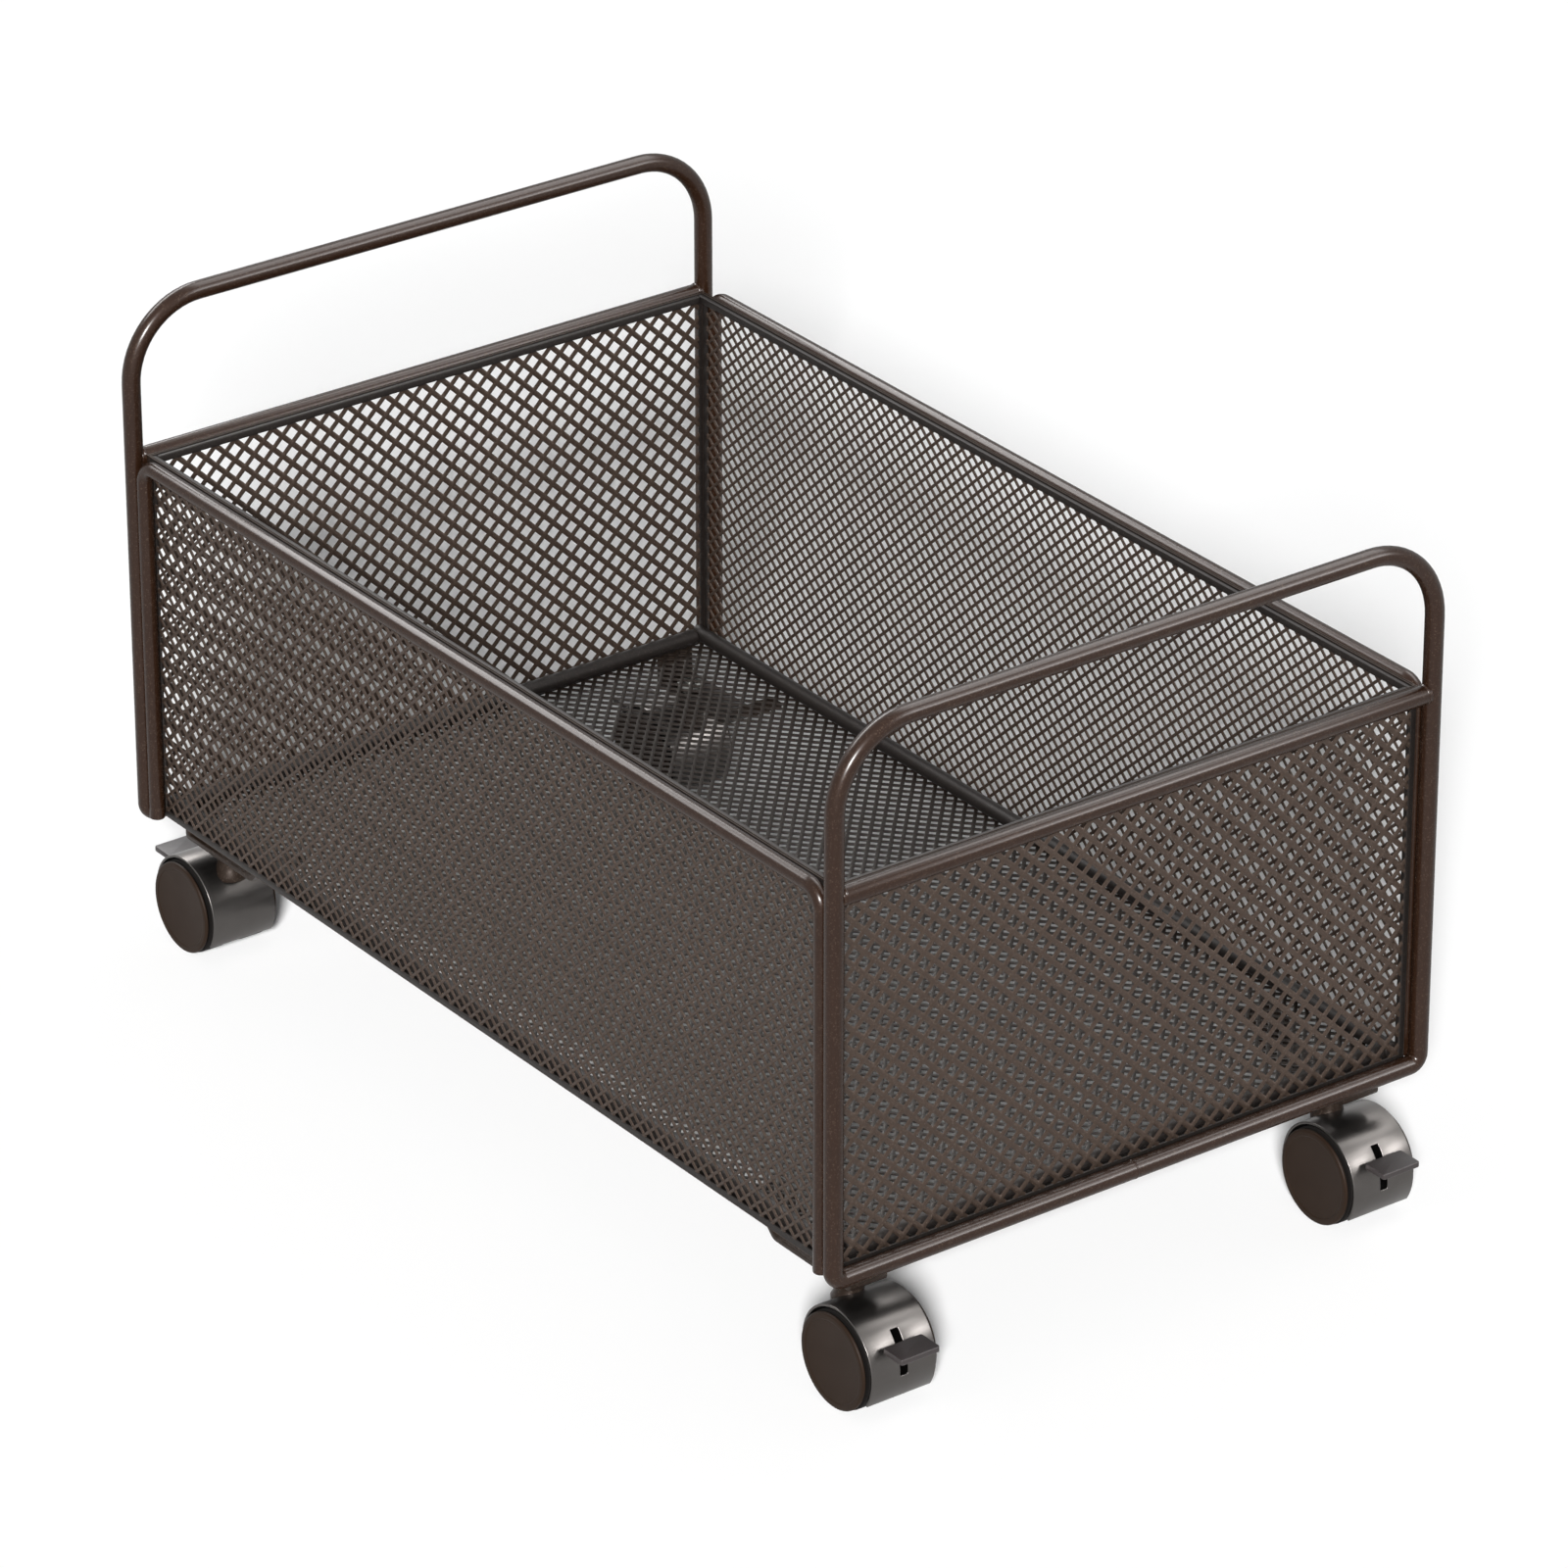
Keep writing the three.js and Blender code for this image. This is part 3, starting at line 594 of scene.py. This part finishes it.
NECK_ROUND = 0.4 * MM
STEM_BORE = 2.5 * MM
hood_metal = finished("hood_metal", worked_metal, {
    "Metal": srgb(86, 83, 81), "Polish roughness": 0.32}, 0.04, {"Metallic": 1.0})


def caster_place(corner):
    """From a caster's own frame, with the axle at the origin and the trail along +X, to the cart's."""
    low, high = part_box(f"caster_axle_{corner}")
    heading = 0 if corner[0] == "f" else math.pi
    return Matrix.Translation((low + high) / 2) @ Matrix.Rotation(heading, 4, "Z")


def assembled(*parts):
    """Several meshes as one, in one bmesh."""
    whole = bmesh.new()
    for part in parts:
        holder = bpy.data.meshes.new("part")
        part.to_mesh(holder)
        part.free()
        whole.from_mesh(holder)
        bpy.data.meshes.remove(holder)
    return whole


def hood_shell(radius, half_width, lip):
    """The drum's wall: its section is spun from one lower edge over the crown to the other."""
    shell = bmesh.new()
    fall = math.asin(-lip / radius)
    slot_from = math.asin(SLOT_BOTTOM / radius)
    slot_to = math.asin(SLOT_TOP / radius)
    outer = [(radius, y) for y in (-half_width, -SLOT_HALF, SLOT_HALF, half_width)]
    inner = [(radius - HOOD_WALL, y) for y in (half_width, SLOT_HALF, -SLOT_HALF, -half_width)]
    start = Matrix.Rotation(fall, 3, "Y")
    section = [shell.verts.new(start @ Vector((r, y, 0))) for r, y in outer + inner]
    first = tip = [shell.edges.new(pair) for pair in zip(section, section[1:] + section[:1])]
    for angle, steps in ((slot_from + fall, LIP_STEPS), (slot_to - slot_from, SLOT_STEPS),
                         (math.pi + fall - slot_to, CROWN_STEPS)):
        ring = list({vert for edge in tip for vert in edge.verts})
        spun = bmesh.ops.spin(shell, geom=ring + tip, cent=(0, 0, 0), axis=(0, -1, 0), angle=angle,
                              steps=steps)
        tip = [part for part in spun["geom_last"] if isinstance(part, bmesh.types.BMEdge)]
    for end in (first, tip):
        bmesh.ops.edgeloop_fill(shell, edges=end)
    middles = [(face, face.calc_center_median()) for face in shell.faces]
    slot = [face for face, at in middles
            if abs(at.y) < SLOT_HALF and SLOT_BOTTOM < at.z < SLOT_TOP and at.x > 0]
    bmesh.ops.delete(shell, geom=slot, context="FACES")
    bmesh.ops.bridge_loops(shell, edges=[edge for edge in shell.edges if edge.is_boundary])
    bmesh.ops.recalc_face_normals(shell, faces=shell.faces)
    soften(shell, HOOD_ROUND, 3)
    return shell


def hood_web(radius, lip, y_from, y_to, front):
    """One slab of the web between the wheels, cut off level with the drum's lower edges."""
    web = bmesh.new()
    facing_y = Matrix.Rotation(math.radians(-90), 4, "X")
    bmesh.ops.create_circle(web, cap_ends=True, segments=WEB_SIDES, radius=radius,
                            matrix=Matrix.Translation((0, y_from, 0)) @ facing_y)
    pulled = bmesh.ops.extrude_face_region(web, geom=web.faces[:])["geom"]
    far_side = [part for part in pulled if isinstance(part, bmesh.types.BMVert)]
    bmesh.ops.translate(web, verts=far_side, vec=(0, y_to - y_from, 0))
    for point, outward in (((0, 0, lip), (0, 0, -1)), ((front, 0, 0), (1, 0, 0))):
        everything = web.verts[:] + web.edges[:] + web.faces[:]
        cut = bmesh.ops.bisect_plane(web, geom=everything, plane_co=point, plane_no=outward,
                                     clear_outer=True)
        rim = [part for part in cut["geom_cut"] if isinstance(part, bmesh.types.BMEdge)]
        if rim:
            bmesh.ops.edgeloop_fill(web, edges=rim)
    return web


for corner in CORNERS:
    low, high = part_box(f"caster_hood_{corner}")
    stem_low, stem_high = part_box(f"caster_stem_{corner}")
    place = caster_place(corner)
    axle = place.to_translation()
    hood_radius = (high.x - low.x) / 2
    half_width = (high.y - low.y) / 2
    lip = low.z - axle.z
    trail = abs((stem_low.x + stem_high.x) / 2 - axle.x)
    neck_top = high.z - axle.z
    neck_foot = hood_radius * NECK_FOOT
    neck = turned([
        (STEM_BORE, neck_foot),
        (NECK_RADIUS + NECK_FLARE, neck_foot),
        (NECK_RADIUS + NECK_FLARE, neck_foot + NECK_STEP),
        (NECK_RADIUS + 0.3 * NECK_FLARE, neck_foot + 2 * NECK_STEP),
        (NECK_RADIUS, neck_foot + 3 * NECK_STEP),
        (NECK_RADIUS, neck_top),
        (STEM_BORE, neck_top),
    ], ALONG_Z)
    soften(neck, NECK_ROUND, 2)
    bmesh.ops.translate(neck, verts=neck.verts, vec=(-trail, 0, 0))
    within = hood_radius - HOOD_WALL / 2
    hood = assembled(
        hood_shell(hood_radius, half_width, lip),
        hood_web(within, lip, -WEB_HALF, -SLOT_HALF, within),
        hood_web(within, lip, SLOT_HALF, WEB_HALF, within),
        hood_web(within, lip, -SLOT_HALF, SLOT_HALF, SLOT_BACK),
    )
    # The neck takes the corner plates' dark paint: partly a dark finish of its own, partly painted shade for
    # the shade under the plate.
    for name, mesh, finish, slot in ((f"drum_hood_{corner}", hood, hood_metal, "hood_metal"),
                                     (f"swivel_neck_{corner}", neck, plate_paint, "plate_paint")):
        bmesh.ops.transform(mesh, matrix=place, verts=mesh.verts)
        make_piece(name, mesh, finish, f"caster_{corner}", f"caster_hood_{corner}")

# Axles. Plain zinc-plated pins through the hoods' webs, with the wheels pressed over their ends.
for corner in CORNERS:
    low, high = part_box(f"caster_axle_{corner}")
    middle = (low + high) / 2
    axle_radius = (high.z - low.z) / 2
    half_run = Vector((0, (high.y - low.y) / 2, 0))
    pin = bent_rod(axle_radius, [middle - half_run, middle + half_run], [])
    make_piece(f"axle_pin_{corner}", pin, zinc_steel, f"caster_{corner}",
               f"caster_axle_{corner}")

# Wheels. Two to a caster: a black rubber tread under the hood with a deep groove at the hood's edge, and
# a disc of dark brown plastic clipped on outside, with a rounded rim and a slightly sunken face. The tread's
# near-black shows only in the groove, and is partly painted shade, for the shade deep in that groove.
WHEEL_STEPS = 72
TREAD_WIDTH = 8.2 * MM
GROOVE_WIDTH = 1.5 * MM
GROOVE_DEPTH = 4.0 * MM
DISC_INSET = 0.3 * MM  # disc's radius under the tread's
DISC_RIM = 2.2 * MM
RIM_ROUND = 0.9 * MM
RIM_STEPS = 6
DISC_ROUND = 0.3 * MM
TREAD_ROUND = 0.4 * MM
DISC_SINK = 0.25 * MM
DISC_SEAT = 0.3 * MM  # the tread's core reaches this far into the disc
AXLE_BORE = 2.3 * MM
BORE_COVER = 2.5 * MM


def moulded_plastic_group():
    """Moulded plastic: the fine grain of the mould, a faint cloud of pigment and handling shine."""
    group = surface_group("moulded_plastic", [
        ("Plastic", "NodeSocketColor", srgb(60, 48, 42)),
        ("Grain roughness", "NodeSocketFloat", 0.5),
    ])
    given = wire(group, "NodeGroupInput").outputs
    place = wire(group, "ShaderNodeTexCoord").outputs["Object"]
    grain = wire(group, "ShaderNodeTexNoise", {"Vector": place, "Scale": 2200.0, "Detail": 2.0})
    cloud = wire(group, "ShaderNodeTexNoise", {"Vector": place, "Scale": 90.0, "Detail": 4.0})
    shade = wire(group, "ShaderNodeMapRange", {
        "Value": cloud.outputs["Fac"], "To Min": 0.88, "To Max": 1.14})
    colour = wire(group, "ShaderNodeVectorMath", {0: given["Plastic"], "Scale": shade.outputs["Result"]},
                  operation="SCALE")
    spread = wire(group, "ShaderNodeMapRange", {
        "Value": cloud.outputs["Fac"], "To Min": 0.06, "To Max": -0.06})
    roughness = wire(group, "ShaderNodeMath", {0: given["Grain roughness"], 1: spread.outputs["Result"]})
    wire(group, "NodeGroupOutput", {
        "Colour": colour.outputs["Vector"], "Roughness": roughness.outputs[0],
        "Height": grain.outputs["Fac"]})
    return group


moulded_plastic = moulded_plastic_group()
wheel_plastic = finished("wheel_plastic", moulded_plastic, {
    "Plastic": srgb(31, 21, 14), "Grain roughness": 0.48}, 0.25, {"Specular IOR Level": 0.08})
# Partly painted shade: the tread's near-black also stands in for the shade in the groove.
tread_rubber_groove_shade = finished("tread_rubber_groove_shade", moulded_plastic, {
    "Plastic": srgb(17, 15, 14), "Grain roughness": 0.75}, 0.25, {"Specular IOR Level": 0.1})
for corner in CORNERS:
    place = caster_place(corner)
    for wheel, turn in (("a", 0), ("b", math.pi)):
        node = f"wheel_{wheel}_{corner}"
        low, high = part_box(node)
        axle = place.to_translation()
        tread_radius = axle.z - low.z
        reach = [abs(y - axle.y) for y in (low.y, high.y)]
        inner, outer = min(reach), max(reach)
        tread_end = inner + TREAD_WIDTH
        disc_start = tread_end + GROOVE_WIDTH
        core_radius = tread_radius - GROOVE_DEPTH
        disc_radius = tread_radius - DISC_INSET
        tread = turned([
            (AXLE_BORE, inner),
            (tread_radius, inner),
            (tread_radius, tread_end),
            (core_radius, tread_end),
            (core_radius, disc_start + DISC_SEAT),
            (AXLE_BORE, disc_start + DISC_SEAT),
        ], ALONG_Y, steps=WHEEL_STEPS)
        rim_arc = []
        for step in range(RIM_STEPS + 1):
            angle = math.radians(90) * step / RIM_STEPS
            rim_arc.append((disc_radius - RIM_ROUND * (1 - math.cos(angle)),
                            outer - RIM_ROUND * (1 - math.sin(angle))))
        disc = turned([
            (0, outer - BORE_COVER),
            (AXLE_BORE, outer - BORE_COVER),
            (AXLE_BORE, disc_start),
            (disc_radius, disc_start),
            *rim_arc,
            (disc_radius - DISC_RIM, outer),
            (disc_radius - DISC_RIM - DISC_SINK, outer - DISC_SINK),
            (0, outer - DISC_SINK),
        ], ALONG_Y, steps=WHEEL_STEPS)
        soften(disc, DISC_ROUND, 3)
        soften(tread, TREAD_ROUND, 3)
        for name, mesh, finish in ((f"disc_{node}", disc, wheel_plastic),
                                   (f"tread_{node}", tread, tread_rubber_groove_shade)):
            bmesh.ops.transform(mesh, matrix=place @ Matrix.Rotation(turn, 4, "Z"), verts=mesh.verts)
            make_piece(name, mesh, finish, node, node)

# Brake levers. Moulded in dark grey plastic: a boss on the brake pin, a blade through the hood's slot
# and a flat tab outside that a foot presses down.
BLADE_THICK = 2.4 * MM
BLADE_HEIGHT = 3.0 * MM
BLADE_ROUND = 0.2 * MM
BOSS_RADIUS = 2.5 * MM
BOSS_BORE = 1.4 * MM
TAB_LENGTH = 10 * MM
TAB_THICK = 2.0 * MM
TAB_CORNER = 1.0 * MM
TAB_ROUND = 0.35 * MM
lever_plastic = finished("lever_plastic", moulded_plastic, {
    "Plastic": srgb(43, 38, 38), "Grain roughness": 0.42}, 0.25, {"Specular IOR Level": 0.3})
for corner in CORNERS:
    place = caster_place(corner)
    low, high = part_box(f"brake_lever_{corner}")
    pin_low, pin_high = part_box(f"brake_pin_{corner}")
    to_caster = place.inverted()
    pivot = to_caster @ ((pin_low + pin_high) / 2)
    tab_tip = max((to_caster @ low).x, (to_caster @ high).x)
    tab_top = (to_caster @ high).z
    tab_half = (high.y - low.y) / 2
    tab = box_between(Vector((tab_tip - TAB_LENGTH, -tab_half, tab_top - TAB_THICK)),
                      Vector((tab_tip, tab_half, tab_top)))
    upright = [edge for edge in tab.edges if abs(edge.verts[0].co.z - edge.verts[1].co.z) > MM]
    bmesh.ops.bevel(tab, geom=upright, offset=TAB_CORNER, segments=4, profile=0.5, affect="EDGES",
                    material=-1)
    soften(tab, TAB_ROUND, 3)
    blade_end = Vector((tab_tip - TAB_LENGTH + TAB_THICK, 0, tab_top - TAB_THICK))
    blade_run = blade_end - pivot
    blade = box_between(Vector((0, -BLADE_THICK / 2, -BLADE_HEIGHT / 2)),
                        Vector((blade_run.length, BLADE_THICK / 2, BLADE_HEIGHT / 2)))
    rise = Matrix.Rotation(-math.atan2(blade_run.z, blade_run.x), 4, "Y")
    bmesh.ops.transform(blade, matrix=Matrix.Translation(pivot) @ rise, verts=blade.verts)
    soften(blade, BLADE_ROUND, 2)
    boss = turned([(BOSS_BORE, -BLADE_THICK / 2), (BOSS_RADIUS, -BLADE_THICK / 2),
                   (BOSS_RADIUS, BLADE_THICK / 2), (BOSS_BORE, BLADE_THICK / 2)], ALONG_Y)
    bmesh.ops.translate(boss, verts=boss.verts, vec=pivot)
    lever = assembled(tab, blade, boss)
    bmesh.ops.transform(lever, matrix=place, verts=lever.verts)
    make_piece(f"brake_tab_{corner}", lever, lever_plastic, f"brake_{corner}",
               f"brake_lever_{corner}")

# Brake pins. Thin zinc-plated pins across the hoods' webs, on which the brake levers tip.
for corner in CORNERS:
    low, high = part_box(f"brake_pin_{corner}")
    middle = (low + high) / 2
    pin_radius = (high.z - low.z) / 2
    half_run = Vector((0, (high.y - low.y) / 2, 0))
    pin = bent_rod(pin_radius, [middle - half_run, middle + half_run], [])
    make_piece(f"tip_pin_{corner}", pin, zinc_steel, f"caster_{corner}",
               f"brake_pin_{corner}")

# Stage. A plain white studio floor that runs out of view, a broad lamp beside the camera that lights
# the whole, four soft lamps behind the cart that only show as sheen on rods and hoods, and a dim room.
FLOOR_HALF = 12.0
studio_mesh = bmesh.new()
bmesh.ops.create_grid(studio_mesh, x_segments=2, y_segments=2, size=FLOOR_HALF)
floor_data = bpy.data.meshes.new("studio_floor")
studio_mesh.to_mesh(floor_data)
studio_mesh.free()
floor_white = bpy.data.materials.new("floor_white")
floor_white.use_nodes = True
floor_tree = floor_white.node_tree
floor_shader = floor_tree.nodes["Principled BSDF"]
floor_shader.inputs["Roughness"].default_value = 0.9
floor_shader.inputs["Specular IOR Level"].default_value = 0.1
floor_place = wire(floor_tree, "ShaderNodeTexCoord").outputs["Object"]
floor_cloud = wire(floor_tree, "ShaderNodeTexNoise", {"Vector": floor_place, "Scale": 3.0, "Detail": 2.0})
floor_shade = wire(floor_tree, "ShaderNodeMapRange", {
    "Value": floor_cloud.outputs["Fac"], "To Min": 0.90, "To Max": 0.92})
floor_tree.links.new(floor_shade.outputs["Result"], floor_shader.inputs["Base Color"])
floor_data.materials.append(floor_white)
studio_floor = bpy.data.objects.new("studio_floor", floor_data)
bpy.context.scene.collection.objects.link(studio_floor)


def soft_lamp(name, azimuth, elevation, distance, width, height, power):
    """A flat lamp aimed at the cart. Azimuth runs from -Y towards +X, as for the camera."""
    around = math.radians(azimuth)
    above = math.radians(elevation)
    outward = (math.sin(around) * math.cos(above), -math.cos(around) * math.cos(above), math.sin(above))
    back = Vector(outward)
    lamp = bpy.data.lights.new(name, "AREA")
    lamp.shape = "RECTANGLE"
    lamp.size = width
    lamp.size_y = height
    lamp.energy = power
    lamp_object = bpy.data.objects.new(name, lamp)
    lamp_object.visible_camera = False
    lamp_object.visible_diffuse = False
    lamp_object.location = Vector((0, 0, (cad_low.z + cad_high.z) / 2)) + back * distance
    lamp_object.rotation_euler = (-back).to_track_quat("-Z", "Y").to_euler()
    bpy.context.scene.collection.objects.link(lamp_object)


soft_lamp("window_lamp", azimuth=125, elevation=23, distance=2.6, width=1.0, height=0.42, power=22)
soft_lamp("sky_lamp", azimuth=130, elevation=32, distance=2.8, width=1.4, height=1.2, power=27)
soft_lamp("left_lamp", azimuth=190, elevation=57, distance=2.7, width=2.4, height=1.3, power=66)
soft_lamp("rear_lamp", azimuth=274, elevation=40, distance=2.7, width=2.4, height=0.7, power=80)

front_lamp = bpy.data.lights.new("front_lamp", "SUN")
front_lamp.energy = 6.8
front_lamp.angle = math.radians(9)
front_object = bpy.data.objects.new("front_lamp", front_lamp)
front_object.rotation_euler = (math.radians(63), 0, math.radians(51))
bpy.context.scene.collection.objects.link(front_object)

room = bpy.data.worlds.new("room")
room.use_nodes = True
room_tree = room.node_tree
room_tree.nodes.clear()
light_path = wire(room_tree, "ShaderNodeLightPath").outputs
direct_or_glossy = wire(room_tree, "ShaderNodeMath", {
    0: light_path["Is Camera Ray"], 1: light_path["Is Glossy Ray"]}, operation="MAXIMUM")
seen = wire(room_tree, "ShaderNodeMath", {
    0: direct_or_glossy.outputs[0], 1: light_path["Is Transmission Ray"]}, operation="MAXIMUM")
dim = wire(room_tree, "ShaderNodeBackground", {"Color": (1, 1, 1, 1), "Strength": 0.12})
white = wire(room_tree, "ShaderNodeBackground", {"Color": (1, 1, 1, 1), "Strength": 1.0})
mixed = wire(room_tree, "ShaderNodeMixShader", {
    0: seen.outputs[0], 1: dim.outputs[0], 2: white.outputs[0]})
wire(room_tree, "ShaderNodeOutputWorld", {"Surface": mixed.outputs[0]})
bpy.context.scene.world = room

# Camera. A long lens from the cart's front right, a little above it, as in the photograph. The lens, the
# angles and the framing come from the photograph's straight rods.
PHOTO_SIDE = 1600  # pixels
PHOTO_FOCUS = 8478.3  # focal length in pixels
PHOTO_AIM = (779.7, 726.6)  # pixel at which the aim point shows
CAMERA_AIM = Vector((0, 0, 136.8 * MM))
CAMERA_DISTANCE = 2779.5 * MM
CAMERA_AZIMUTH = math.radians(53.77)
CAMERA_ELEVATION = math.radians(26.58)
CAMERA_ROLL = math.radians(-0.09)
camera_data = bpy.data.cameras.new("photo_camera")
camera_data.lens = camera_data.sensor_width * PHOTO_FOCUS / PHOTO_SIDE
camera_data.shift_x = 0.5 - PHOTO_AIM[0] / PHOTO_SIDE
camera_data.shift_y = PHOTO_AIM[1] / PHOTO_SIDE - 0.5
camera = bpy.data.objects.new("photo_camera", camera_data)
back = Vector((math.sin(CAMERA_AZIMUTH) * math.cos(CAMERA_ELEVATION),
               -math.cos(CAMERA_AZIMUTH) * math.cos(CAMERA_ELEVATION), math.sin(CAMERA_ELEVATION)))
camera.location = CAMERA_AIM + back * CAMERA_DISTANCE
level = (-back).to_track_quat("-Z", "Y").to_matrix().to_4x4()
camera.rotation_euler = (level @ Matrix.Rotation(CAMERA_ROLL, 4, "Z")).to_euler()
bpy.context.scene.collection.objects.link(camera)
bpy.context.scene.camera = camera
bpy.context.scene.view_settings.view_transform = "Standard"
